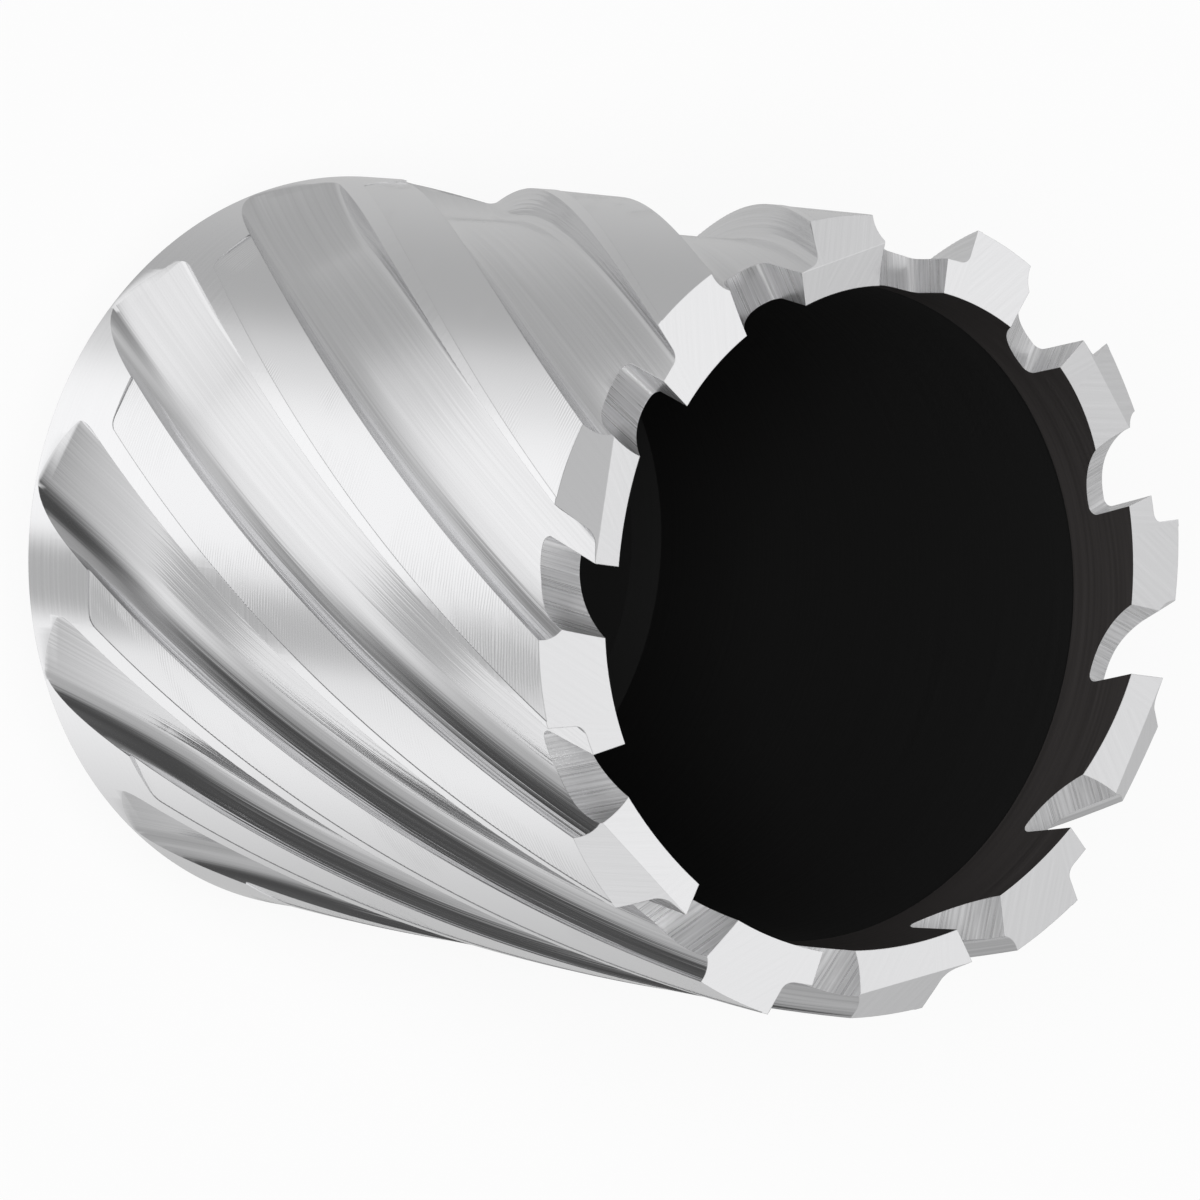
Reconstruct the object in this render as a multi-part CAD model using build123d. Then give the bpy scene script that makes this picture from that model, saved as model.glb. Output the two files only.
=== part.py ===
from build123d import *
from math import atan, cos, degrees, pi, radians, sin, tan
import os

# Annular cutter for a magnetic drill: one ground bar of high-speed steel with a plain driving
# shank below, a web, and above it a hollow body with twelve helical flutes and twelve teeth.
# Origin: centre of the shank's end face. +Z runs along the cutter's axis towards the teeth.
# All sizes in millimetres, all angles in degrees.

# Body
cutting_d = 55.0          # diameter over the margins, which is the hole the cutter makes
wall = 4.95               # body wall at the teeth
body_length = 64.7        # rear face of the body to the outer corners of the straight teeth
web = 8.2                 # solid end behind the slug space
rear_chamfer = 0.35
bore_land_length = 6.0    # ground bore behind the tooth corners
bore_relief = 0.17        # the bore behind the land is this much larger in radius
bore_corner_r = 1.6

# Shank
shank_d = 19.05
shank_length = 24.0
shank_chamfer = 1.0
shank_root_r = 0.8
flat_from_axis = 8.2      # the set screws' two flats, a quarter turn apart
flat_length = 9.0
flat_centre_z = 17.6      # towards the body, clear of the shank's middle
flat_end_r = 1.0
pilot_hole_d = 6.4        # runs through shank and web for the ejector pin
pilot_chamfer = 0.6

# Flutes: right-hand helix, one per tooth
tooth_count = 12
flute_lead = 335.0        # axial length of one full turn of the helix
flute_depth = 2.53
rake_lean = 0.55          # the rake wall's foot stands this far ahead of its edge, in degrees
rake_foot_r = 0.9         # fillet between rake wall and floor
heel_angle = 18.5         # rake edge to the heel of the tooth ahead
heel_r = 2.8              # hollow heel wall, rounded into the floor
runout_start = 49.5       # here the floor leaves its depth, behind the tooth corners
runout_sink = 0.05        # the wheel is this much deeper and wider there, a faint crease
runout_climb = 2.9        # first angle of the climb
runout_wheel_r = 52.0     # from there the floor curves out of the body on this radius
runout_tip = 0.12         # its crown shifts this far towards the rake wall, per mm of travel
runout_rake_r = 0.75
runout_heel_r = 2.3

# Margin and body clearance
clearance_depth = 0.14    # the land behind the margin is this much lower
collar_length = 8.4       # plain full-diameter collar at the rear
margin_front = 0.45       # width of the margin at the tip
margin_rear = 1.65        # and at the collar

# Gullets: one in front of each tooth, through the whole wall
gullet_slope = 26.5       # the gullet falls outwards at this angle
gullet_floor_r = 5.7
gullet_floor_offset = 2.1 # centre of the floor curve, ahead of the tooth's radial line
gullet_depth = 3.4        # at the bore, behind the tooth corners
gullet_corner_r = 0.55
gullet_face_offset = 2.15 # cutting face ahead of the radial line, level with the corners
gullet_face_rake = 15.0
gullet_skew = 3.5         # the face turns this much from the radial line

# Tooth facets: straight teeth and roofed teeth take turns
straight_incline = 9.2    # one facet across the wall, rising inwards
straight_relief = 7.3
roof_drop = 0.65          # outer corner of a roofed tooth, below that of a straight one
roof_ridge_x = 24.78      # distance of the ridge from the axis, in the tooth's radial plane
roof_outer_incline = 32.6
roof_inner_incline = 13.5
roof_relief = 11.3

# What follows from them
outer_r = cutting_d / 2
bore_r = outer_r - wall
floor_r = outer_r - flute_depth
rear_z = shank_length
corner_z = rear_z + body_length
pitch_angle = 360 / tooth_count
twist_rate = 360 / flute_lead
helix_angle = atan(pi * cutting_d / flute_lead)
ridge_rise = (outer_r - roof_ridge_x) * tan(radians(roof_outer_incline)) - roof_drop
stock_above = ridge_rise + 2.0
top_z = corner_z + stock_above
over_r = outer_r + 2.0


def polar(radius, angle):
    return (radius * cos(radians(angle)), radius * sin(radians(angle)))


def twisted(section, z_from, z_to, turn):
    """Extrude a plan section from z_from to z_to while it turns by turn degrees."""
    start = Pos(0, 0, z_from) * section
    return Solid.extrude_linear_with_rotation(
        start.face(), (0, 0, z_from), (0, 0, z_to - z_from), turn
    )


def around(solid, first=0, step=1):
    """Copies of a one-tooth cut at every step-th tooth."""
    return [Rot(0, 0, pitch_angle * i) * solid for i in range(first, tooth_count, step)]


def blank():
    """Turned and ground blank with its bore and pilot hole, before any flute is cut."""
    shank_r = shank_d / 2
    hole_r = pilot_hole_d / 2
    profile = Polyline(
        (hole_r + pilot_chamfer, 0),
        (shank_r - shank_chamfer, 0),
        (shank_r, shank_chamfer),
        (shank_r, rear_z - shank_root_r),
        (shank_r + shank_root_r, rear_z),
        (outer_r - rear_chamfer, rear_z),
        (outer_r, rear_z + rear_chamfer),
        (outer_r, top_z),
        (bore_r, top_z),
        (bore_r, corner_z - bore_land_length),
        (bore_r + bore_relief, corner_z - bore_land_length - bore_relief),
        (bore_r + bore_relief, rear_z + web + bore_corner_r),
        (bore_r + bore_relief - bore_corner_r, rear_z + web),
        (hole_r, rear_z + web),
        (hole_r, pilot_chamfer),
        close=True,
    )
    return revolve(Plane.XZ * make_face(profile), Axis.Z)


def flute_section():
    """Plan section of one flute, ahead of a tooth whose rake edge lies on the X axis."""
    outward = (over_r - outer_r) / flute_depth
    rake_line = Line(polar(over_r, -rake_lean * outward), polar(floor_r, rake_lean))
    floor_arc = CenterArc((0, 0), floor_r, rake_lean, heel_angle - rake_lean)
    heel_line = Line(polar(floor_r, heel_angle), polar(over_r, heel_angle))
    mouth = Line(heel_line @ 1, rake_line @ 0)
    section = make_face([rake_line, floor_arc, heel_line, mouth])
    inner = section.vertices().sort_by_distance((0, 0, 0))[:2]
    heel_corner = inner.sort_by(Axis.Y)[-1]
    section = fillet(heel_corner, heel_r)
    rake_corner = section.vertices().sort_by_distance(polar(floor_r, rake_lean) + (0,))[0]
    return fillet(rake_corner, rake_foot_r)


def across_flute(travel, shape):
    """Put a shape square across the flute, travel millimetres behind the start of its run-out.

    X runs across the flute towards the heel, Y away from the axis, Z rearwards along the flute.
    """
    z = corner_z - runout_start - travel * cos(helix_angle)
    azimuth = heel_angle / 2 + twist_rate * (z - corner_z)
    frame = Plane(
        origin=(0, 0, z),
        x_dir=(0, cos(helix_angle), -sin(helix_angle)),
        z_dir=(0, -sin(helix_angle), -cos(helix_angle)),
    )
    return Rot(0, 0, azimuth) * (frame * shape)


def flute_line(side, lean, play):
    """One wall of the flute, square across it: its points at the floor and at the body's surface."""
    twist = radians(twist_rate) * sin(helix_angle)
    points = []
    for radius, angle in ((floor_r, heel_angle / 2 - lean), (outer_r, heel_angle / 2)):
        distance = radius * radians(angle) / (cos(helix_angle) + radius * twist)
        points.append(Vector(side * (distance + play), radius))
    return points


def runout_section(travel):
    """Section of the run-out, with its floor lifted as far as the wheel has climbed there."""
    climb = travel * tan(radians(runout_climb)) + travel**2 / (2 * runout_wheel_r)
    floor = floor_r - runout_sink + climb
    rake_foot, rake_edge = flute_line(-1, rake_lean, runout_sink)
    heel_foot, heel_edge = flute_line(1, 0, runout_sink)
    rake = rake_edge - rake_foot
    heel = heel_edge - heel_foot
    channel = Polyline(
        rake_foot - rake, heel_foot - heel, heel_edge + heel * 2, rake_edge + rake * 2, close=True
    )
    crown_r = floor_r / cos(helix_angle) ** 2
    crown_x = -runout_tip * travel
    section = make_face(channel) - Pos(crown_x, floor - crown_r) * Circle(crown_r)
    heel_corner = section.vertices().sort_by(Axis.Y)[:2].sort_by(Axis.X)[-1]
    section = fillet(heel_corner, runout_heel_r)
    rake_corner = section.vertices().sort_by(Axis.Y)[:3].sort_by(Axis.X)[0]
    return across_flute(travel, fillet(rake_corner, runout_rake_r))


def flute():
    """One helical flute, with the curved run-out where its floor leaves the body."""
    z_from = corner_z - runout_start - 8.0
    section = Rot(0, 0, twist_rate * (z_from - corner_z)) * flute_section()
    groove = twisted(section, z_from, top_z, twist_rate * (top_z - z_from))
    behind = across_flute(0, Pos(0, floor_r, 10) * Box(30, 12, 20))
    runout = loft([runout_section(travel) for travel in (0, 4.5, 9.0, 13.5, 18.0)])
    return groove - behind + runout


def clearance():
    """The lowered land of one tooth, from behind its margin into the flute that follows."""
    z_from = rear_z + collar_length
    run = corner_z - z_from
    margin_turn = degrees((margin_rear - margin_front) / outer_r)
    start = -degrees(margin_front / outer_r)
    land_r = outer_r - clearance_depth
    width = pitch_angle - heel_angle + 5.0
    inner_arc = CenterArc((0, 0), land_r, start - width, width)
    outer_arc = CenterArc((0, 0), over_r, start - width, width)
    sides = [Line(inner_arc @ 0, outer_arc @ 0), Line(inner_arc @ 1, outer_arc @ 1)]
    section = make_face([inner_arc, outer_arc] + sides)
    rate = twist_rate + margin_turn / run
    section = Rot(0, 0, -rate * run) * section
    return twisted(section, z_from, top_z, rate * (top_z - z_from))


def gullet():
    """Chip gullet ahead of a tooth: a curved floor and the flat inner cutting face."""
    slope = tan(radians(gullet_slope))
    skew = tan(radians(gullet_skew))
    cut_dir = Vector(1, -skew * slope, -slope)
    start_x = bore_r - 3.0
    origin = Vector(start_x, 0, corner_z + slope * (bore_r - start_x))
    frame = Plane(origin=origin, x_dir=(0, 1, 0), z_dir=cut_dir)
    depth = gullet_depth * cos(radians(gullet_slope))
    lean = tan(radians(gullet_face_rake))
    face_foot = (gullet_face_offset - lean * depth, -depth)
    lift = gullet_floor_r - depth
    face_top = (gullet_face_offset + lean * lift, lift)
    floor_low = (gullet_floor_offset, -depth)
    floor_high = (gullet_floor_offset + gullet_floor_r, lift)
    face_line = Line(face_top, face_foot)
    foot_line = Line(face_foot, floor_low)
    floor_curve = CenterArc((gullet_floor_offset, lift), gullet_floor_r, -90, 90)
    lid = Line(floor_high, face_top)
    section = make_face([face_line, foot_line, floor_curve, lid])
    corner = section.vertices().sort_by_distance(face_foot + (0,))[0]
    section = fillet(corner, gullet_corner_r)
    return extrude(frame * section, amount=2 * wall + 6.0)


def tooth_sector():
    """Everything above the gullets in one tooth's share of the ring."""
    ahead = (heel_angle + 3.5) / 2
    reach = over_r + 2.0
    wedge = Polyline(
        (0, 0), polar(reach, ahead - pitch_angle), polar(reach, ahead), close=True
    )
    floor_z = corner_z - gullet_depth + 0.6
    return extrude(Pos(0, 0, floor_z) * make_face(wedge), amount=top_z + 1 - floor_z)


def facet_plane(x, z, rise_inwards, relief):
    """Plane of a tooth facet, through a point of the tooth's radial line."""
    normal = (tan(radians(rise_inwards)), -tan(radians(relief)), 1)
    return Plane(origin=(x, 0, z), z_dir=normal)


def straight_facet():
    plane = facet_plane(outer_r, corner_z, straight_incline, straight_relief)
    return split(tooth_sector(), bisect_by=plane, keep=Keep.TOP)


def roof_facets():
    ridge_z = corner_z + ridge_rise
    sector = tooth_sector()
    outer = facet_plane(roof_ridge_x, ridge_z, roof_outer_incline, roof_relief)
    inner = facet_plane(roof_ridge_x, ridge_z, -roof_inner_incline, roof_relief)
    return split(sector, bisect_by=outer, keep=Keep.TOP) + split(
        sector, bisect_by=inner, keep=Keep.TOP
    )


def shank_flat():
    depth = shank_d / 2 - flat_from_axis + 1.0
    block = Box(depth, shank_d, flat_length, align=(Align.MIN, Align.CENTER, Align.CENTER))
    ends = block.edges().filter_by(Axis.Y).group_by(Axis.X)[0]
    return Pos(flat_from_axis, 0, flat_centre_z) * fillet(ends, flat_end_r)


cutter = blank()
cutter -= around(flute())
cutter -= around(clearance())
cutter -= around(gullet())
cutter -= around(straight_facet(), 0, 2)
cutter -= around(roof_facets(), 1, 2)
cutter -= [Rot(0, 0, turn) * shank_flat() for turn in (0, 90)]

os.makedirs("parts", exist_ok=True)
export_step(cutter, "parts/cutter.step")
print("cutter", round(cutter.volume / 1000, 2), "cm3", cutter.bounding_box())
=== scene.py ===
import math

import bmesh
import bpy
from bpy.props import (
    FloatProperty,
    FloatVectorProperty,
    IntProperty,
    PointerProperty,
)
from mathutils import Matrix, Quaternion, Vector


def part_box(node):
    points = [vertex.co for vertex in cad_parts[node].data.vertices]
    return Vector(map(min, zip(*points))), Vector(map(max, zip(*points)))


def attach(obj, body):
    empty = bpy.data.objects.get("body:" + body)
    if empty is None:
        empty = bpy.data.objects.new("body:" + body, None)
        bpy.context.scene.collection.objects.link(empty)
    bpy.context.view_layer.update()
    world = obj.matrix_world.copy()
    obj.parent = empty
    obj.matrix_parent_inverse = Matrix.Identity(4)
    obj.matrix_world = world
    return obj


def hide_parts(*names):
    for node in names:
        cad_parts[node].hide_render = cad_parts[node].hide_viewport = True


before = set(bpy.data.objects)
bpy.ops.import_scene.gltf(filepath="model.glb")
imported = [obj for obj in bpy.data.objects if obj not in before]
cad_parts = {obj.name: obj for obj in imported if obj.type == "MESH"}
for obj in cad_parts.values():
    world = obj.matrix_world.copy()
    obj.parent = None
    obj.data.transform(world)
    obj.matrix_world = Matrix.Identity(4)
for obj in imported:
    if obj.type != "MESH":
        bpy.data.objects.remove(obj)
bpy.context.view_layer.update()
FLOOR_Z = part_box("cutter")[0].z

bl_info = {
    "name": "Annular Cutter",
    "version": (1, 0, 0),
    "blender": (4, 5, 0),
    "location": "3D View > Sidebar > Cutter",
    "description": "Builds a ground annular cutter and a plain studio around it",
    "category": "Add Mesh",
}

MM = 0.001

# The tools that cut the blank reach this far past it
OVERRUN = 2.0 * MM
# The front end of a flute's tool and the outer side of a flat's reach only this far
SHORT_OVERRUN = 1.0 * MM
# A gullet's tool starts this far inside the bore, and runs on for twice this and twice the wall
GULLET_OVERRUN = 3.0 * MM
# A flute's tool carries its walls up to this many times the depth of the flute
WALL_REACH = 3.0
# Smooth shading breaks at edges that turn by more than this
SHARP_EDGE = math.radians(22.0)
# A land is cut this much wider than it shows, into the flute behind it
LAND_OVERRUN = math.radians(5.0)
# A facet is cut this far past the middle of the flute ahead of it, and past its neighbour
FACET_AHEAD = math.radians(1.75)
FACET_LAP = math.radians(0.4)
# Straight sides of the blank round the axis
ROUND_SIDES = 432
# Longest step of the blank's profile along the axis
PROFILE_STEP = 2.5 * MM
# How many sections the tools are drawn through: along a flute or a land, over the run-out, over
# the land's corner, and along a gullet
LONG_SECTIONS = 48
RUNOUT_SECTIONS = 27
CORNER_SECTIONS = 9
GULLET_SECTIONS = 9
# The run-out's close sections start this many blends ahead of it
CLOSE_START = 1.5
# How many steps draw a round of a flute, and how many points a gullet's floor, a land and the
# outer side of the land's tool
FLUTE_ROUND_STEPS = 12
GULLET_FLOOR_POINTS = 29
LAND_POINTS = 15
LAND_OUTER_POINTS = 5

# Edges catch the light as if they were broken by this radius
EDGE_ROUND = 0.07 * MM
# Lines of the flute's wall take over from those of its floor between these heights above it
FLOOR_BAND = (0.1 * MM, 0.8 * MM)
# They do so only ahead of the run-out, and fade over this length each way from its start
CREASE_BAND = 3.0 * MM
# Share of their strength that the lines keep on a flute's floor
FLOOR_LINE_SHARE = 0.4
# The marks across the lands wander by up to this turn of their wave, in radians
CHATTER_DRIFT = 9.0

# Grinding lines: how many there are in a metre along X, Y and Z
FLUTE_LINES = (4200.0, 4200.0, 25.0)
TURNED_LINES = (40.0, 40.0, 3500.0)
FACET_LINES = (70.0, 3600.0, 100.0)
GULLET_LINES = (60.0, 4600.0, 4600.0)
CHATTER_WANDER = (300.0, 300.0, 900.0)
CHATTER_PATCHES = (170.0, 170.0, 110.0)

WHITE = (1.0, 1.0, 1.0, 1.0)
# Soft grey cards of the light tent. Each has its compass direction and height in degrees, the
# half-width of its middle and of its soft edge, and how light it is. Placed one by one, then
# adjusted by a least-squares fit to the tones that the steel mirrors in the photo
CARDS = [
    (-164.0, -48.0, 25.0, 65.0, 0.46),
    (-119.0, -55.0, 7.0, 20.0, 0.46),
    (172.0, -74.0, 21.0, 34.0, 0.55),
    (116.0, -9.0, 26.0, 78.0, 0.56),
    (66.0, -5.0, 23.0, 51.0, 0.44),
    (7.0, -24.0, 9.0, 35.0, 0.5),
    (2.0, -58.0, 3.0, 9.0, 0.48),
    (-40.0, -60.0, 4.0, 19.0, 1.08),
    (-92.0, -3.0, 13.0, 32.0, 0.24),
    (-58.0, -2.0, 13.0, 31.0, 0.07),
    (-31.0, 3.0, 16.0, 45.0, 0.08),
    (-46.0, 26.0, 17.0, 35.0, 0.15),
    (18.0, 16.0, 10.0, 31.0, 0.33),
    (-106.0, 26.0, 25.0, 53.0, 0.48),
    (3.0, 70.0, 17.0, 39.0, 0.6),
]


def length(name, description, default_mm):
    """A length property, given in millimetres and kept in metres."""
    return FloatProperty(
        name=name, description=description, default=default_mm * MM, unit="LENGTH", precision=5
    )


def angle(name, description, default_deg):
    """An angle property, given in degrees and kept in radians."""
    return FloatProperty(
        name=name, description=description, default=math.radians(default_deg), subtype="ANGLE"
    )


class CutterBodySizes(bpy.types.PropertyGroup):
    cutting_d: length("Cutting diameter", "Diameter over the margins", 55.0)
    wall: length("Wall", "Thickness of the body wall at the teeth", 4.95)
    body_length: length("Body length", "Rear face to the corners of the straight teeth", 64.7)
    web: length("Web", "Solid end behind the slug space", 8.2)
    rear_chamfer: length("Rear chamfer", "Broken edge of the rear face", 0.35)
    bore_land: length("Bore land", "Ground bore behind the tooth corners", 6.0)
    bore_relief: length("Bore relief", "Radius of the bore behind the land, over the land's", 0.17)
    bore_corner: length("Bore corner", "Bevel where the bore meets the web", 1.6)
    shank_d: length("Shank diameter", "Diameter of the driving shank", 19.05)
    shank_length: length("Shank length", "Shank end to the rear face of the body", 24.0)
    shank_chamfer: length("Shank chamfer", "Bevel on the shank's end", 1.0)
    shank_root: length("Shank root", "Bevel between shank and body", 0.8)
    flat_from_axis: length("Flat height", "Set-screw flat, from the axis", 8.2)
    flat_length: length("Flat length", "Length of a set-screw flat", 9.0)
    flat_centre: length("Flat centre", "Middle of the flats, from the shank's end", 17.6)
    flat_end: length("Flat end radius", "Round at each end of a flat", 1.0)
    pilot_d: length("Pilot hole", "Diameter of the hole through shank and web", 6.4)
    pilot_chamfer: length("Pilot chamfer", "Bevel on the pilot hole's outer end", 0.6)


class CutterFluteSizes(bpy.types.PropertyGroup):
    tooth_count: IntProperty(name="Teeth", description="Teeth and flutes", default=12, min=4)
    lead: length("Lead", "Axial length of one full turn of the helix", 335.0)
    depth: length("Depth", "Depth of the flutes", 2.53)
    rake_lean: angle("Rake lean", "The rake wall's foot stands this far ahead of its edge", 0.55)
    rake_foot: length("Rake foot radius", "Round between rake wall and floor", 0.8)
    heel_angle: angle("Heel angle", "Rake edge to the heel of the tooth ahead", 18.5)
    heel_round: length("Heel radius", "Hollow heel wall", 2.6)
    runout_start: length("Run-out start", "Where the floor begins to climb", 49.5)
    runout_length: length("Run-out length", "Length along the flute that the climb takes", 18.0)
    runout_blend: length("Run-out blend", "The climb is eased in over this length each way", 1.2)
    runout_climb: angle("Run-out climb", "First angle of the climb", 2.9)
    runout_wheel: length("Run-out wheel", "Radius that the floor climbs on", 52.0)
    runout_tip: FloatProperty(
        name="Run-out tip",
        description="Sideways shift of the floor's crown for each unit along the run-out",
        default=0.12,
    )
    land_start: length("Land start", "The land begins this much below its margin", 0.04)
    land_relief: angle("Land relief", "Fall of the land behind its margin", 2.0)
    land_corner: length("Land corner", "Round where the land starts beside the margin", 0.6)
    collar: length("Collar", "Plain full-diameter collar at the rear", 8.4)
    margin_front: length("Front margin", "Width of the margin at the tip", 0.45)
    margin_rear: length("Rear margin", "Width of the margin at the collar", 1.65)


class CutterToothSizes(bpy.types.PropertyGroup):
    gullet_slope: angle("Gullet slope", "The gullet falls outwards at this angle", 26.5)
    gullet_floor: length("Gullet floor radius", "Round of the gullet's floor", 5.7)
    gullet_offset: length("Gullet offset", "Lowest point of the floor, ahead of the tooth", 2.1)
    gullet_depth: length("Gullet depth", "Depth at the bore, behind the corners", 3.4)
    gullet_corner: length("Gullet corner radius", "Round at the foot of the cutting face", 0.55)
    face_offset: length("Face offset", "Cutting face ahead of the radial line", 2.15)
    face_rake: angle("Face rake", "Rake of the inner cutting face", 15.0)
    gullet_skew: angle("Gullet skew", "The gullet turns this much from the radial line", 3.5)
    straight_incline: angle("Straight incline", "Rise inwards of a straight tooth's facet", 9.2)
    straight_relief: angle("Straight relief", "Fall of that facet behind its edge", 7.3)
    roof_drop: length("Roof drop", "Outer corner of a roofed tooth below a straight one", 0.65)
    roof_ridge: length("Roof ridge", "Distance of the ridge from the axis", 24.78)
    roof_outer: angle("Roof outer incline", "Rise inwards of the outer facet", 32.6)
    roof_inner: angle("Roof inner incline", "Fall inwards of the inner facet", 13.5)
    roof_relief: angle("Roof relief", "Fall of both facets behind their edge", 11.3)


class CutterFinish(bpy.types.PropertyGroup):
    steel: FloatVectorProperty(
        name="Steel", description="Bright ground steel", subtype="COLOR", size=3,
        default=(0.86, 0.86, 0.87), min=0.0, max=1.0,
    )
    # The heat scale colour is painted shade: the bore behind its land is coloured near-black, as
    # dark as the shade deep inside it.
    scale: FloatVectorProperty(
        name="Heat scale", description="Unground bore, dark from hardening", subtype="COLOR",
        size=3, default=(0.012, 0.012, 0.012), min=0.0, max=1.0,
    )
    # The bore land colour is painted shade: the ground land is coloured dark grey, as dark as the
    # shade inside the bore.
    bore_land: FloatVectorProperty(
        name="Bore land", description="Bore land, less dark", subtype="COLOR", size=3,
        default=(0.06, 0.055, 0.054), min=0.0, max=1.0,
    )
    chatter: length("Chatter", "Spacing of the cutter marks across the lands", 0.32)
    facet_lean: angle("Facet lines", "Grinding lines of a facet, from its cutting edge", 15.0)


class StudioSettings(bpy.types.PropertyGroup):
    target: FloatVectorProperty(
        name="Target", description="Point that the camera looks at", subtype="TRANSLATION",
        unit="LENGTH", size=3, precision=5, default=(0.5 * MM, 1.27 * MM, 57.58 * MM),
    )
    distance: length("Camera distance", "Camera to the point it looks at", 485.1)
    azimuth: angle("Camera azimuth", "Round the object, from the front", 68.287)
    elevation: angle("Camera elevation", "Above the horizon", 53.637)
    roll: angle("Camera roll", "Turn of the picture", 98.52)
    lens: FloatProperty(name="Lens", description="Focal length in millimetres", default=204.58)
    sensor: FloatProperty(
        name="Sensor", description="Width of the film in millimetres", default=36.0
    )
    near_limit: length("Near limit", "The camera sees nothing nearer than this", 10.0)
    floor_size: length("Floor", "Width of the floor", 4000.0)
    floor_colour: FloatVectorProperty(
        name="Floor colour", description="Pale floor", subtype="COLOR", size=3,
        default=(0.93, 0.93, 0.93), min=0.0, max=1.0,
    )
    floor_white: FloatProperty(
        name="Floor white", description="Share of plain white in the floor that the camera sees",
        default=0.85,
    )
    ambient: FloatProperty(name="Ambient", description="Light from all round", default=0.35)
    lamp_strength: FloatProperty(
        name="Lamp", description="Strength of the soft lamp in watts per square metre", default=2.2
    )
    lamp_angle: angle("Lamp width", "Width of the lamp as the cutter sees it", 25.0)


# Shapes

def polar(radius, turn, z=0.0):
    return Vector((radius * math.cos(turn), radius * math.sin(turn), z))


def spread(first, last, count):
    """Evenly spaced values from first to last, both included."""
    return [first + (last - first) * i / (count - 1) for i in range(count)]


def rounded(corners, steps=8):
    """Outline through (x, y, radius) corners, each rounded by an arc of its radius."""
    outline = []
    for i, (x, y, radius) in enumerate(corners):
        here = Vector((x, y))
        if not radius:
            outline.append(here)
            continue
        before = (Vector(corners[i - 1][:2]) - here).normalized()
        after = (Vector(corners[(i + 1) % len(corners)][:2]) - here).normalized()
        half = before.angle(after) / 2
        centre = here + (before + after).normalized() * (radius / math.sin(half))
        reach = radius / math.tan(half)
        first = here + before * reach - centre
        last = here + after * reach - centre
        start = math.atan2(first.y, first.x)
        turn = math.remainder(math.atan2(last.y, last.x) - start, math.tau)
        for step in spread(0.0, turn, steps + 1):
            outline.append(centre + polar(radius, start + step).xy)
    return outline


def linked(name, data):
    """New object of the scene."""
    thing = bpy.data.objects.new(name, data)
    bpy.context.scene.collection.objects.link(thing)
    return thing


def solid(name, rings, wrap=False, kinds=None):
    """Closed mesh through rings of points. kinds gives each side of a ring its material index."""
    count = len(rings[0])
    mesh = bpy.data.meshes.new(name)
    form = bmesh.new()
    verts = [form.verts.new(point) for ring in rings for point in ring]
    last = len(rings) if wrap else len(rings) - 1
    for row in range(last):
        low = row * count
        high = (row + 1) % len(rings) * count
        for i in range(count):
            j = (i + 1) % count
            around = (low + i, low + j, high + j, high + i)
            face = form.faces.new([verts[k] for k in around])
            face.material_index = kinds[i] if kinds else 0
    if not wrap:
        form.faces.new(verts[:count])
        form.faces.new(verts[-count:])
    bmesh.ops.recalc_face_normals(form, faces=form.faces)
    form.to_mesh(mesh)
    form.free()
    return linked(name, mesh)


class Form:
    """Sizes that several shapes of the cutter share, in metres and radians."""

    def __init__(self, scene):
        self.body = scene.cutter_body
        self.flute = scene.cutter_flutes
        self.tooth = scene.cutter_teeth
        self.outer_r = self.body.cutting_d / 2
        self.bore_r = self.outer_r - self.body.wall
        self.floor_r = self.outer_r - self.flute.depth
        self.rear_z = self.body.shank_length
        self.corner_z = self.rear_z + self.body.body_length
        self.pitch = math.tau / self.flute.tooth_count
        self.twist = math.tau / self.flute.lead
        self.helix = math.atan(math.pi * self.body.cutting_d / self.flute.lead)
        run = self.outer_r - self.tooth.roof_ridge
        self.ridge_rise = run * math.tan(self.tooth.roof_outer) - self.tooth.roof_drop
        self.top_z = self.corner_z + self.ridge_rise + OVERRUN
        self.over_r = self.outer_r + OVERRUN


def blank(form, finishes):
    """Turned and ground blank with its bore and pilot hole."""
    body = form.body
    hole = body.pilot_d / 2
    shank = body.shank_d / 2
    wide = form.bore_r + body.bore_relief
    land_z = form.corner_z - body.bore_land
    web_z = form.rear_z + body.web
    rear = form.rear_z
    # Each step of the profile: where it ends and the finish of the stretch that leads to it
    path = [
        ((hole + body.pilot_chamfer, 0), "pilot"),
        ((shank - body.shank_chamfer, 0), "turned"),
        ((shank, body.shank_chamfer), "turned"),
        ((shank, rear - body.shank_root), "ground"),
        ((shank + body.shank_root, rear), "turned"),
        ((form.outer_r - body.rear_chamfer, rear), "turned"),
        ((form.outer_r, rear + body.rear_chamfer), "turned"),
        ((form.outer_r, form.top_z), "ground"),
        ((form.bore_r, form.top_z), "ground"),
        # The bore land and the bore behind it take dark finishes of painted shade, for the shade
        # inside the bore.
        ((form.bore_r, land_z), "bore_land"),
        ((wide, land_z - body.bore_relief), "scale"),
        ((wide, web_z + body.bore_corner), "scale"),
        ((wide - body.bore_corner, web_z), "scale"),
        ((hole, web_z), "scale"),
        ((hole, body.pilot_chamfer), "pilot"),
    ]
    names = list(finishes)
    points, kinds = [], []
    for i, (end, finish) in enumerate(path):
        start = path[i - 1][0]
        parts = max(1, round(abs(end[1] - start[1]) / PROFILE_STEP))
        for k in range(parts):
            points.append(Vector(start).lerp(Vector(end), k / parts))
            kinds.append(names.index(finish))
    rings = []
    for turn in spread(0.0, math.tau, ROUND_SIDES + 1)[:-1]:
        rings.append([polar(point.x, turn, point.y) for point in points])
    thing = solid("cutter_ground", rings, wrap=True, kinds=kinds)
    for finish in finishes.values():
        thing.data.materials.append(finish)
    return thing


def flute_climb(flute, travel):
    """Height of the climbing floor, eased in over the length of the run-out blend."""
    blend = flute.runout_blend
    first = math.tan(flute.runout_climb)
    if travel <= -blend:
        return 0.0
    if travel < blend:
        return first * (travel + blend) ** 2 / (4 * blend)
    return first * travel + (travel - blend) ** 2 / (2 * flute.runout_wheel)


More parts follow.
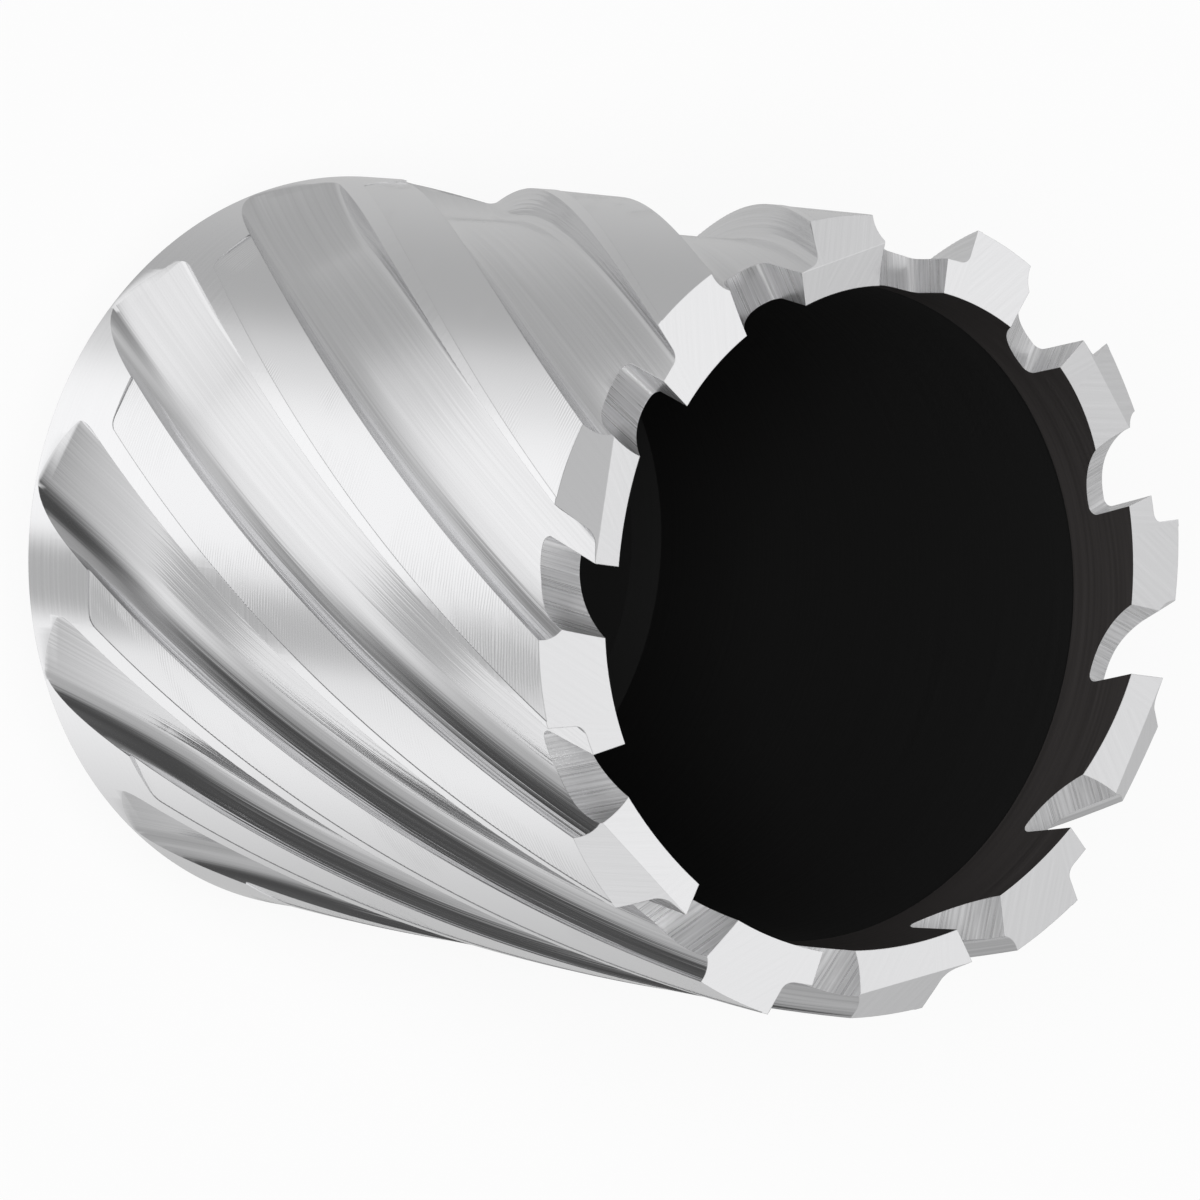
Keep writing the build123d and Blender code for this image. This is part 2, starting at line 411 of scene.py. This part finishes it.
def flute_ring(form, travel):
    """Outline of a flute, square across it, travel metres behind the start of its run-out."""
    flute = form.flute
    climb = flute_climb(flute, travel)
    floor = form.floor_r + climb
    narrow = form.twist * math.sin(form.helix)
    walls = []
    for side, lean in ((-1, flute.rake_lean), (1, 0.0)):
        for radius, away in ((form.floor_r, lean), (form.outer_r, 0.0)):
            across = radius * (flute.heel_angle / 2 - away)
            across /= math.cos(form.helix) + radius * narrow
            walls.append(Vector((side * across, radius)))
    rake_foot, rake_edge, heel_foot, heel_edge = walls
    rise = climb / flute.depth
    corners = [
        (*rake_foot.lerp(rake_edge, WALL_REACH), 0),
        (*rake_foot.lerp(rake_edge, rise), flute.rake_foot),
        (*heel_foot.lerp(heel_edge, rise), flute.heel_round),
        (*heel_foot.lerp(heel_edge, WALL_REACH), 0),
    ]
    crown_x = -flute.runout_tip * max(travel, 0.0)
    crown_r = form.floor_r / math.cos(form.helix) ** 2
    z = form.corner_z - flute.runout_start - travel * math.cos(form.helix)
    turn = Matrix.Rotation(flute.heel_angle / 2 + form.twist * (z - form.corner_z), 3, "Z")
    ring = []
    for point in rounded(corners, FLUTE_ROUND_STEPS):
        y = point.y - (point.x - crown_x) ** 2 / (2 * crown_r)
        sideways = point.x * math.cos(form.helix)
        ring.append(turn @ Vector((y, sideways, z - point.x * math.sin(form.helix))))
    return ring


def flute_cut(form):
    """One flute with its run-out, as the solid that the grinding wheel takes away."""
    flute = form.flute
    front = form.corner_z - flute.runout_start - form.top_z - SHORT_OVERRUN
    front /= math.cos(form.helix)
    near = -CLOSE_START * flute.runout_blend
    stations = spread(front, near, LONG_SECTIONS)
    stations += spread(near, flute.runout_length, RUNOUT_SECTIONS)[1:]
    return solid("flute_cut", [flute_ring(form, travel) for travel in stations])


def clearance_cut(form):
    """The relieved land of one tooth, falling from its margin towards the flute that follows."""
    flute = form.flute
    low = form.rear_z + flute.collar
    run = form.corner_z - low
    corner = flute.land_corner
    width = form.pitch - flute.heel_angle + LAND_OVERRUN
    fall = math.tan(flute.land_relief) * form.outer_r
    heights = spread(low, low + corner, CORNER_SECTIONS)
    heights += spread(low + corner, form.top_z, LONG_SECTIONS)[1:]
    rings = []
    for z in heights:
        back = (form.corner_z - z) / run
        margin = flute.margin_front + (flute.margin_rear - flute.margin_front) * back
        inside = max(corner - (z - low), 0.0)
        margin += corner - math.sqrt(corner**2 - inside**2)
        start = form.twist * (z - form.corner_z) - margin / form.outer_r
        ring = []
        for away in spread(width, 0.0, LAND_POINTS):
            ring.append(polar(form.outer_r - flute.land_start - fall * away, start - away, z))
        for turn in spread(start, start - width, LAND_OUTER_POINTS):
            ring.append(polar(form.over_r, turn, z))
        rings.append(ring)
    return solid("clearance_cut", rings)


def gullet_cut(form):
    """Chip gullet ahead of a tooth: a curved floor and the flat inner cutting face."""
    tooth = form.tooth
    slope = math.tan(tooth.gullet_slope)
    start_x = form.bore_r - GULLET_OVERRUN
    origin = Vector((start_x, 0, form.corner_z + slope * (form.bore_r - start_x)))
    along = Vector((1, -math.tan(tooth.gullet_skew) * slope, -slope)).normalized()
    across = Vector((0, 1, 0))
    across = (across - along * across.dot(along)).normalized()
    up = along.cross(across)
    depth = tooth.gullet_depth * math.cos(tooth.gullet_slope)
    lift = tooth.gullet_floor - depth
    lean = math.tan(tooth.face_rake)
    corners = [
        (tooth.face_offset + lean * lift, lift, 0),
        (tooth.face_offset - lean * depth, -depth, tooth.gullet_corner),
        (tooth.gullet_offset, -depth, 0),
    ]
    outline = rounded(corners)
    centre = Vector((tooth.gullet_offset, lift))
    for turn in spread(-math.pi / 2, 0.0, GULLET_FLOOR_POINTS)[1:]:
        outline.append(centre + polar(tooth.gullet_floor, turn).xy)
    far = 2 * form.body.wall + 2 * GULLET_OVERRUN
    rings = []
    for reach in spread(0.0, far, GULLET_SECTIONS):
        middle = origin + along * reach
        rings.append([middle + across * point.x + up * point.y for point in outline])
    return solid("gullet_cut", rings)


def facet_cut(form, name, x, z, incline, relief):
    """Everything above one facet plane within one tooth's share of the ring."""
    ahead = form.flute.heel_angle / 2 + FACET_AHEAD
    behind = ahead - form.pitch - FACET_LAP
    reach = form.over_r + OVERRUN
    corners = [Vector((0, 0, 0)), polar(reach, behind), polar(reach, ahead)]
    low, high = [], []
    for corner in corners:
        fall = math.tan(incline) * (corner.x - x) - math.tan(relief) * corner.y
        low.append(Vector((corner.x, corner.y, z - fall)))
        high.append(Vector((corner.x, corner.y, form.top_z + reach)))
    return solid(name, [low, high])


def flat_cut(form):
    """One set-screw flat on the shank."""
    body = form.body
    low = body.flat_centre - body.flat_length / 2
    high = body.flat_centre + body.flat_length / 2
    far = body.shank_d / 2 + SHORT_OVERRUN
    outline = rounded(
        [
            (body.flat_from_axis, low, body.flat_end),
            (body.flat_from_axis, high, body.flat_end),
            (far, high, 0),
            (far, low, 0),
        ]
    )
    half = body.shank_d / 2
    rings = [[Vector((point.x, y, point.y)) for point in outline] for y in (-half, half)]
    return solid("flat_cut", rings)


# Node trees

def node(tree, kind, inputs=None, **settings):
    """Add a node, set its options, and fill its inputs with values or links."""
    made = tree.nodes.new(kind)
    for key, value in settings.items():
        setattr(made, key, value)
    for key, value in (inputs or {}).items():
        if isinstance(value, bpy.types.NodeSocket):
            tree.links.new(value, made.inputs[key])
        else:
            made.inputs[key].default_value = value
    return made


def ring_cut_tree():
    """Geometry Nodes tree that cuts one tool shape into a blank at even steps round the axis."""
    tree = bpy.data.node_groups.new("Ring Cut", "GeometryNodeTree")
    face = tree.interface
    face.new_socket("Geometry", in_out="INPUT", socket_type="NodeSocketGeometry")
    face.new_socket("Tool", in_out="INPUT", socket_type="NodeSocketObject")
    face.new_socket("Finish", in_out="INPUT", socket_type="NodeSocketMaterial")
    face.new_socket("Count", in_out="INPUT", socket_type="NodeSocketInt")
    face.new_socket("First Angle", in_out="INPUT", socket_type="NodeSocketFloat")
    face.new_socket("Step Angle", in_out="INPUT", socket_type="NodeSocketFloat")
    face.new_socket("Geometry", in_out="OUTPUT", socket_type="NodeSocketGeometry")
    given = node(tree, "NodeGroupInput").outputs
    tool = node(tree, "GeometryNodeObjectInfo", {"Object": given["Tool"], "As Instance": True})
    places = node(tree, "GeometryNodeMeshLine", {"Count": given["Count"], "Offset": (0, 0, 0)})
    index = node(tree, "GeometryNodeInputIndex")
    turn = node(
        tree, "ShaderNodeMath",
        {0: index.outputs[0], 1: given["Step Angle"], 2: given["First Angle"]},
        operation="MULTIPLY_ADD",
    )
    spin = node(tree, "ShaderNodeCombineXYZ", {"Z": turn.outputs[0]})
    copies = node(
        tree, "GeometryNodeInstanceOnPoints",
        {
            "Points": places.outputs[0],
            "Instance": tool.outputs["Geometry"],
            "Rotation": spin.outputs[0],
        },
    )
    tools = node(tree, "GeometryNodeRealizeInstances", {"Geometry": copies.outputs[0]})
    marked = node(
        tree, "GeometryNodeStoreNamedAttribute",
        {"Geometry": tools.outputs[0], "Name": "fresh_cut", "Value": True},
        data_type="BOOLEAN", domain="FACE",
    )
    unmarked = node(
        tree, "GeometryNodeStoreNamedAttribute",
        {"Geometry": given["Geometry"], "Name": "fresh_cut", "Value": False},
        data_type="BOOLEAN", domain="FACE",
    )
    cut = node(
        tree, "GeometryNodeMeshBoolean", {0: unmarked.outputs[0], 1: marked.outputs[0]},
        operation="DIFFERENCE", solver="MANIFOLD",
    )
    fresh = node(
        tree, "GeometryNodeInputNamedAttribute", {"Name": "fresh_cut"}, data_type="BOOLEAN"
    )
    plain = node(tree, "GeometryNodeRealizeInstances", {"Geometry": cut.outputs[0]})
    dressed = node(
        tree, "GeometryNodeSetMaterial",
        {
            "Geometry": plain.outputs[0],
            "Selection": fresh.outputs[0],
            "Material": given["Finish"],
        },
    )
    node(tree, "NodeGroupOutput", {"Geometry": dressed.outputs[0]})
    return tree


def ring_cut(thing, tree, tool, finish, count, first, step):
    """Put one ring cut on the blank, as a modifier."""
    modifier = thing.modifiers.new(tool.name, "NODES")
    modifier.node_group = tree
    values = {
        "Tool": tool,
        "Finish": finish,
        "Count": count,
        "First Angle": first,
        "Step Angle": step,
    }
    for socket in tree.interface.items_tree:
        if socket.in_out == "INPUT" and socket.name in values:
            modifier[socket.identifier] = values[socket.name]


# Finishes

def turned_back(tree, turn, extra=0.0):
    """Object coordinates turned back about the axis by an angle socket plus a fixed angle."""
    place = node(tree, "ShaderNodeTexCoord").outputs["Object"]
    angle = node(tree, "ShaderNodeMath", {0: turn, 1: -1.0, 2: extra}, operation="MULTIPLY_ADD")
    return node(
        tree, "ShaderNodeVectorRotate", {"Vector": place, "Angle": angle.outputs[0]},
        rotation_type="Z_AXIS",
    ).outputs[0]


def place_parts(tree):
    """X, Y and Z sockets of the object coordinates."""
    place = node(tree, "ShaderNodeTexCoord").outputs["Object"]
    return node(tree, "ShaderNodeSeparateXYZ", {0: place}).outputs


def helix_place(tree, twist):
    """Object coordinates turned back along the helix, so that a flute stands straight up."""
    height = place_parts(tree)["Z"]
    turn = node(tree, "ShaderNodeMath", {0: height, 1: twist}, operation="MULTIPLY")
    return turned_back(tree, turn.outputs[0])


def tooth_place(tree, pitch, lean=0.0):
    """Object coordinates turned into the frame of the nearest tooth, whose edge lies on X."""
    parts = place_parts(tree)
    turn = node(tree, "ShaderNodeMath", {0: parts["Y"], 1: parts["X"]}, operation="ARCTAN2")
    near = node(tree, "ShaderNodeMath", {0: turn.outputs[0], 1: pitch}, operation="SNAP")
    return turned_back(tree, near.outputs[0], lean)


def streaks(tree, place, scale, detail=3.0):
    """Noise stretched by the given number of features per metre along each axis."""
    stretched = node(tree, "ShaderNodeVectorMath", {0: place, 1: scale}, operation="MULTIPLY")
    return node(
        tree, "ShaderNodeTexNoise",
        {"Vector": stretched.outputs[0], "Scale": 1.0, "Detail": detail, "Roughness": 0.6},
    ).outputs[0]


def span(tree, value, low, high, ends=(0.3, 0.7)):
    """Stretch a noise value from its usual ends to low and high."""
    return node(
        tree, "ShaderNodeMapRange",
        {"Value": value, "From Min": ends[0], "From Max": ends[1], "To Min": low, "To Max": high},
    ).outputs[0]


def faded(tree, lines, share):
    """Pull the lines towards their middle where share is small."""
    return node(
        tree, "ShaderNodeMix", {"Factor": share, "A": 0.5, "B": lines}, data_type="FLOAT"
    ).outputs[0]


def steel(name, colour, roughness, grain, height, fade=0.85, metal=1.0):
    """Ground steel. grain(tree) gives the grinding lines, height in mm is their depth,
    and fade is how light the bottom of a line is against its crest."""
    made = bpy.data.materials.new(name)
    made.use_nodes = True
    tree = made.node_tree
    tree.nodes.clear()
    lines = grain(tree)
    soft_edge = node(tree, "ShaderNodeBevel", {"Radius": EDGE_ROUND}, samples=4)
    bump = node(
        tree, "ShaderNodeBump",
        {
            "Height": lines,
            "Distance": height * MM,
            "Strength": 1.0,
            "Normal": soft_edge.outputs[0],
        },
    )
    tone = node(
        tree, "ShaderNodeVectorMath", {0: colour, "Scale": span(tree, lines, fade, 1.0)},
        operation="SCALE",
    )
    shader = node(
        tree, "ShaderNodeBsdfPrincipled",
        {
            "Base Color": tone.outputs[0],
            "Metallic": metal,
            "Roughness": span(tree, lines, *roughness),
            "Normal": bump.outputs[0],
        },
    )
    node(tree, "ShaderNodeOutputMaterial", {"Surface": shader.outputs[0]})
    return made


def cutter_finishes(form, finish):
    """Every finish of the cutter by name, in the order of its material slots."""
    bright = tuple(finish.steel)
    # Painted shade: the two dark colours of the bore stand in for the shade inside it.
    dark = tuple(finish.scale)
    land_painted_shade = tuple(finish.bore_land)

    def along_flute(tree):
        place = helix_place(tree, form.twist)
        parts = node(tree, "ShaderNodeSeparateXYZ", {0: place}).outputs
        flat = node(tree, "ShaderNodeCombineXYZ", {"X": parts["X"], "Y": parts["Y"]})
        radius = node(tree, "ShaderNodeVectorMath", {0: flat.outputs[0]}, operation="LENGTH")
        unit = node(tree, "ShaderNodeVectorMath", {0: flat.outputs[0]}, operation="NORMALIZE")
        onto = node(
            tree, "ShaderNodeVectorMath", {0: unit.outputs[0], "Scale": form.floor_r},
            operation="SCALE",
        )
        lift = node(tree, "ShaderNodeCombineXYZ", {"Z": parts["Z"]})
        drum = node(
            tree, "ShaderNodeVectorMath", {0: onto.outputs[0], 1: lift.outputs[0]}, operation="ADD"
        )
        floor_lines = faded(
            tree, streaks(tree, drum.outputs[0], FLUTE_LINES, 2.0), FLOOR_LINE_SHARE
        )
        wall_lines = streaks(tree, place, FLUTE_LINES, 2.0)
        foot = [form.floor_r + height for height in FLOOR_BAND]
        wall = span(tree, radius.outputs["Value"], 0.0, 1.0, foot)
        crease = form.corner_z - form.flute.runout_start
        ahead = span(tree, parts["Z"], 0.0, 1.0, (crease - CREASE_BAND, crease + CREASE_BAND))
        share = node(tree, "ShaderNodeMath", {0: wall, 1: ahead}, operation="MULTIPLY").outputs[0]
        return node(
            tree, "ShaderNodeMix", {"Factor": share, "A": floor_lines, "B": wall_lines},
            data_type="FLOAT",
        ).outputs[0]

    def around_axis(tree):
        place = node(tree, "ShaderNodeTexCoord").outputs["Object"]
        return streaks(tree, place, TURNED_LINES)

    def across_land(tree):
        place = helix_place(tree, form.twist)
        wander = streaks(tree, place, CHATTER_WANDER, 1.0)
        step = math.tau / finish.chatter
        along = node(
            tree, "ShaderNodeMath", {0: place_parts(tree)["Z"], 1: step}, operation="MULTIPLY"
        )
        phase = node(
            tree, "ShaderNodeMath", {0: wander, 1: CHATTER_DRIFT, 2: along.outputs[0]},
            operation="MULTIPLY_ADD",
        )
        wave = node(tree, "ShaderNodeMath", {0: phase.outputs[0]}, operation="SINE")
        ticks = span(tree, wave.outputs[0], 0.25, 0.75, (-1.0, 1.0))
        cloud = streaks(tree, place, CHATTER_PATCHES, 2.0)
        return faded(tree, ticks, span(tree, cloud, 0.08, 1.0, (0.5, 0.62)))

    def along_gullet(tree):
        level = node(
            tree, "ShaderNodeVectorRotate",
            {"Vector": tooth_place(tree, form.pitch), "Angle": -form.tooth.gullet_slope},
            rotation_type="Y_AXIS",
        )
        return streaks(tree, level.outputs[0], GULLET_LINES)

    def across_facet(tree):
        return streaks(tree, tooth_place(tree, form.pitch, finish.facet_lean), FACET_LINES)

    return {
        "ground": steel("ground_margin", bright, (0.08, 0.16), around_axis, 0.001, 0.97),
        "turned": steel("turned_steel", bright, (0.2, 0.32), around_axis, 0.004, 0.8),
        # Painted shade: the bore land and the bore get dark finishes, not metal, for the shade
        # inside the bore.
        "bore_land": steel("bore_land", land_painted_shade, (0.3, 0.45), around_axis, 0.002, 0.7, 0.0),
        "scale": steel("bore_painted_shade", dark, (0.6, 0.7), around_axis, 0.0005, 0.95, 0.0),
        "pilot": steel("pilot_bore", (0.2, 0.2, 0.2), (0.3, 0.4), around_axis, 0.002),
        "flute": steel("flute_ground", bright, (0.08, 0.2), along_flute, 0.04, 0.8),
        "land": steel("land_milled", bright, (0.12, 0.2), across_land, 0.016, 0.94),
        "facet": steel("facet_ground", bright, (0.15, 0.25), across_facet, 0.004, 0.94),
        "gullet": steel("gullet_ground", bright, (0.25, 0.35), along_gullet, 0.014, 0.6, 0.68),
    }


# Operators

def finish_edges(mesh):
    """Smooth shading, broken at every sharp edge."""
    form = bmesh.new()
    form.from_mesh(mesh)
    for face in form.faces:
        face.smooth = True
    for edge in form.edges:
        edge.smooth = edge.calc_face_angle(math.pi) < SHARP_EDGE
    form.to_mesh(mesh)
    form.free()


def cutter_cuts(form):
    """Every cut in working order: its tool, finish, number, first angle and step angle."""
    tooth = form.tooth
    ridge_z = form.corner_z + form.ridge_rise
    straight = facet_cut(
        form, "straight_facet_cut", form.outer_r, form.corner_z,
        tooth.straight_incline, tooth.straight_relief,
    )
    outer = facet_cut(
        form, "roof_outer_cut", tooth.roof_ridge, ridge_z, tooth.roof_outer, tooth.roof_relief
    )
    inner = facet_cut(
        form, "roof_inner_cut", tooth.roof_ridge, ridge_z, -tooth.roof_inner, tooth.roof_relief
    )
    count = form.flute.tooth_count
    pitch = form.pitch
    return [
        (flute_cut(form), "flute", count, 0.0, pitch),
        (clearance_cut(form), "land", count, 0.0, pitch),
        (gullet_cut(form), "gullet", count, 0.0, pitch),
        (straight, "facet", count // 2, 0.0, 2 * pitch),
        (outer, "facet", count // 2, pitch, 2 * pitch),
        (inner, "facet", count // 2, pitch, 2 * pitch),
        (flat_cut(form), "turned", 2, 0.0, math.pi / 2),
    ]


class CUTTER_OT_build(bpy.types.Operator):
    """Grind the cutter from its blank: flutes, lands, gullets, tooth facets and shank flats"""

    bl_idname = "cutter.build"
    bl_label = "Build Cutter"

    def execute(self, context):
        form = Form(context.scene)
        finishes = cutter_finishes(form, context.scene.cutter_finish)
        thing = blank(form, finishes)
        tree = ring_cut_tree()
        cuts = cutter_cuts(form)
        for tool, finish, number, first, step in cuts:
            ring_cut(thing, tree, tool, finishes[finish], number, first, step)
        shown = context.evaluated_depsgraph_get()
        mesh = bpy.data.meshes.new_from_object(thing.evaluated_get(shown))
        thing.modifiers.clear()
        thing.data = mesh
        mesh.attributes.remove(mesh.attributes["fresh_cut"])
        for tool, *_ in cuts:
            bpy.data.objects.remove(tool)
        finish_edges(mesh)
        mesh.validate()
        if not mesh.polygons:
            raise RuntimeError("the cutter's mesh came out wrong")
        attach(thing, "root")
        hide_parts("cutter")
        return {"FINISHED"}


def aim(azimuth, elevation):
    """Unit vector from the object towards a place round it; azimuth 0 is in front, on -Y."""
    flat = math.cos(elevation)
    return Vector((math.sin(azimuth) * flat, -math.cos(azimuth) * flat, math.sin(elevation)))


def studio_world(ambient):
    """White surroundings. Metal also mirrors a few soft grey cards, as in a product light tent."""
    world = bpy.data.worlds.new("Studio")
    bpy.context.scene.world = world
    world.use_nodes = True
    tree = world.node_tree
    tree.nodes.clear()
    way = node(tree, "ShaderNodeTexCoord").outputs["Generated"]
    shade = WHITE
    for compass, height, inner, outer, level in CARDS:
        compass, height = math.radians(compass), math.radians(height)
        middle = polar(math.cos(height), compass, math.sin(height))
        facing = node(
            tree, "ShaderNodeVectorMath", {0: way, 1: tuple(middle)}, operation="DOT_PRODUCT"
        )
        amount = node(
            tree, "ShaderNodeMapRange",
            {
                "Value": facing.outputs["Value"],
                "From Min": math.cos(math.radians(outer)),
                "From Max": math.cos(math.radians(inner)),
            },
            interpolation_type="SMOOTHSTEP",
        )
        mixed = node(
            tree, "ShaderNodeMix",
            {"Factor": amount.outputs[0], 6: shade, 7: (level, level, level, 1.0)},
            data_type="RGBA",
        )
        shade = mixed.outputs[2]
    path = node(tree, "ShaderNodeLightPath")
    plain = node(
        tree, "ShaderNodeMix",
        {"Factor": path.outputs["Is Camera Ray"], 6: (ambient, ambient, ambient, 1.0), 7: WHITE},
        data_type="RGBA",
    )
    seen = node(
        tree, "ShaderNodeMix",
        {"Factor": path.outputs["Is Glossy Ray"], 6: plain.outputs[2], 7: shade},
        data_type="RGBA",
    )
    light = node(tree, "ShaderNodeBackground", {"Color": seen.outputs[2], "Strength": 1.0})
    node(tree, "ShaderNodeOutputWorld", {"Surface": light.outputs[0]})


def pale_floor(colour, white):
    """Matt floor that the camera sees as nearly white, with the cutter's shadow left on it."""
    made = bpy.data.materials.new("pale_floor")
    made.use_nodes = True
    tree = made.node_tree
    tree.nodes.clear()
    matt = node(tree, "ShaderNodeBsdfDiffuse", {"Color": (*colour, 1.0)})
    plain = node(tree, "ShaderNodeEmission", {"Color": WHITE, "Strength": 1.0})
    path = node(tree, "ShaderNodeLightPath")
    share = node(
        tree, "ShaderNodeMath", {0: path.outputs["Is Camera Ray"], 1: white}, operation="MULTIPLY"
    )
    both = node(
        tree, "ShaderNodeMixShader", {0: share.outputs[0], 1: matt.outputs[0], 2: plain.outputs[0]}
    )
    node(tree, "ShaderNodeOutputMaterial", {"Surface": both.outputs[0]})
    return made


def studio_floor(studio):
    half = studio.floor_size / 2
    corners = [(-half, -half), (half, -half), (half, half), (-half, half)]
    mesh = bpy.data.meshes.new("floor")
    mesh.from_pydata([(x, y, FLOOR_Z) for x, y in corners], [], [(0, 1, 2, 3)])
    mesh.materials.append(pale_floor(studio.floor_colour, studio.floor_white))
    floor = linked("floor", mesh)
    floor.visible_glossy = False
    return floor


def studio_lamp(studio, back):
    """Soft lamp behind the camera. Metal mirrors the cards and not the lamp."""
    data = bpy.data.lights.new("soft_lamp", "SUN")
    data.angle = studio.lamp_angle
    data.energy = studio.lamp_strength
    lamp = linked("soft_lamp", data)
    lamp.rotation_mode = "QUATERNION"
    lamp.rotation_quaternion = back.to_track_quat("Z", "Y")
    lamp.visible_glossy = False
    return lamp


def studio_camera(studio, back):
    data = bpy.data.cameras.new("camera")
    data.lens = studio.lens
    data.sensor_width = studio.sensor
    data.clip_start = studio.near_limit
    camera = linked("camera", data)
    camera.location = Vector(studio.target) + back * studio.distance
    camera.rotation_mode = "QUATERNION"
    roll = Quaternion((0, 0, 1), studio.roll)
    camera.rotation_quaternion = back.to_track_quat("Z", "Y") @ roll
    return camera


class CUTTER_OT_studio(bpy.types.Operator):
    """Set up the pale floor, the soft light and the camera"""

    bl_idname = "cutter.studio"
    bl_label = "Build Studio"

    def execute(self, context):
        scene = context.scene
        studio = scene.cutter_studio
        back = aim(studio.azimuth, studio.elevation)
        floor = studio_floor(studio)
        lamp = studio_lamp(studio, back)
        studio_world(studio.ambient)
        scene.camera = studio_camera(studio, back)
        scene.view_settings.view_transform = "Standard"
        return {"FINISHED"}


class CUTTER_PT_panel(bpy.types.Panel):
    """Cutter sizes, finishes and studio"""

    bl_idname = "CUTTER_PT_panel"
    bl_label = "Annular Cutter"
    bl_space_type = "VIEW_3D"
    bl_region_type = "UI"
    bl_category = "Cutter"

    def draw(self, context):
        for title, group, operator in PANEL_ROWS:
            box = self.layout.box()
            box.label(text=title)
            settings = getattr(context.scene, group)
            for name in settings.__annotations__:
                box.prop(settings, name)
            if operator:
                box.operator(operator)


PANEL_ROWS = [
    ("Body", "cutter_body", None),
    ("Flutes", "cutter_flutes", None),
    ("Teeth", "cutter_teeth", None),
    ("Finish", "cutter_finish", CUTTER_OT_build.bl_idname),
    ("Studio", "cutter_studio", CUTTER_OT_studio.bl_idname),
]
SETTINGS = {
    "cutter_body": CutterBodySizes,
    "cutter_flutes": CutterFluteSizes,
    "cutter_teeth": CutterToothSizes,
    "cutter_finish": CutterFinish,
    "cutter_studio": StudioSettings,
}
CLASSES = [*SETTINGS.values(), CUTTER_OT_build, CUTTER_OT_studio, CUTTER_PT_panel]


def register():
    for item in CLASSES:
        bpy.utils.register_class(item)
    for name, group in SETTINGS.items():
        setattr(bpy.types.Scene, name, PointerProperty(type=group))


def unregister():
    for name in SETTINGS:
        delattr(bpy.types.Scene, name)
    for item in reversed(CLASSES):
        bpy.utils.unregister_class(item)


def main():
    register()
    bpy.ops.cutter.build()
    bpy.ops.cutter.studio()


if __name__ == "__main__":
    main()
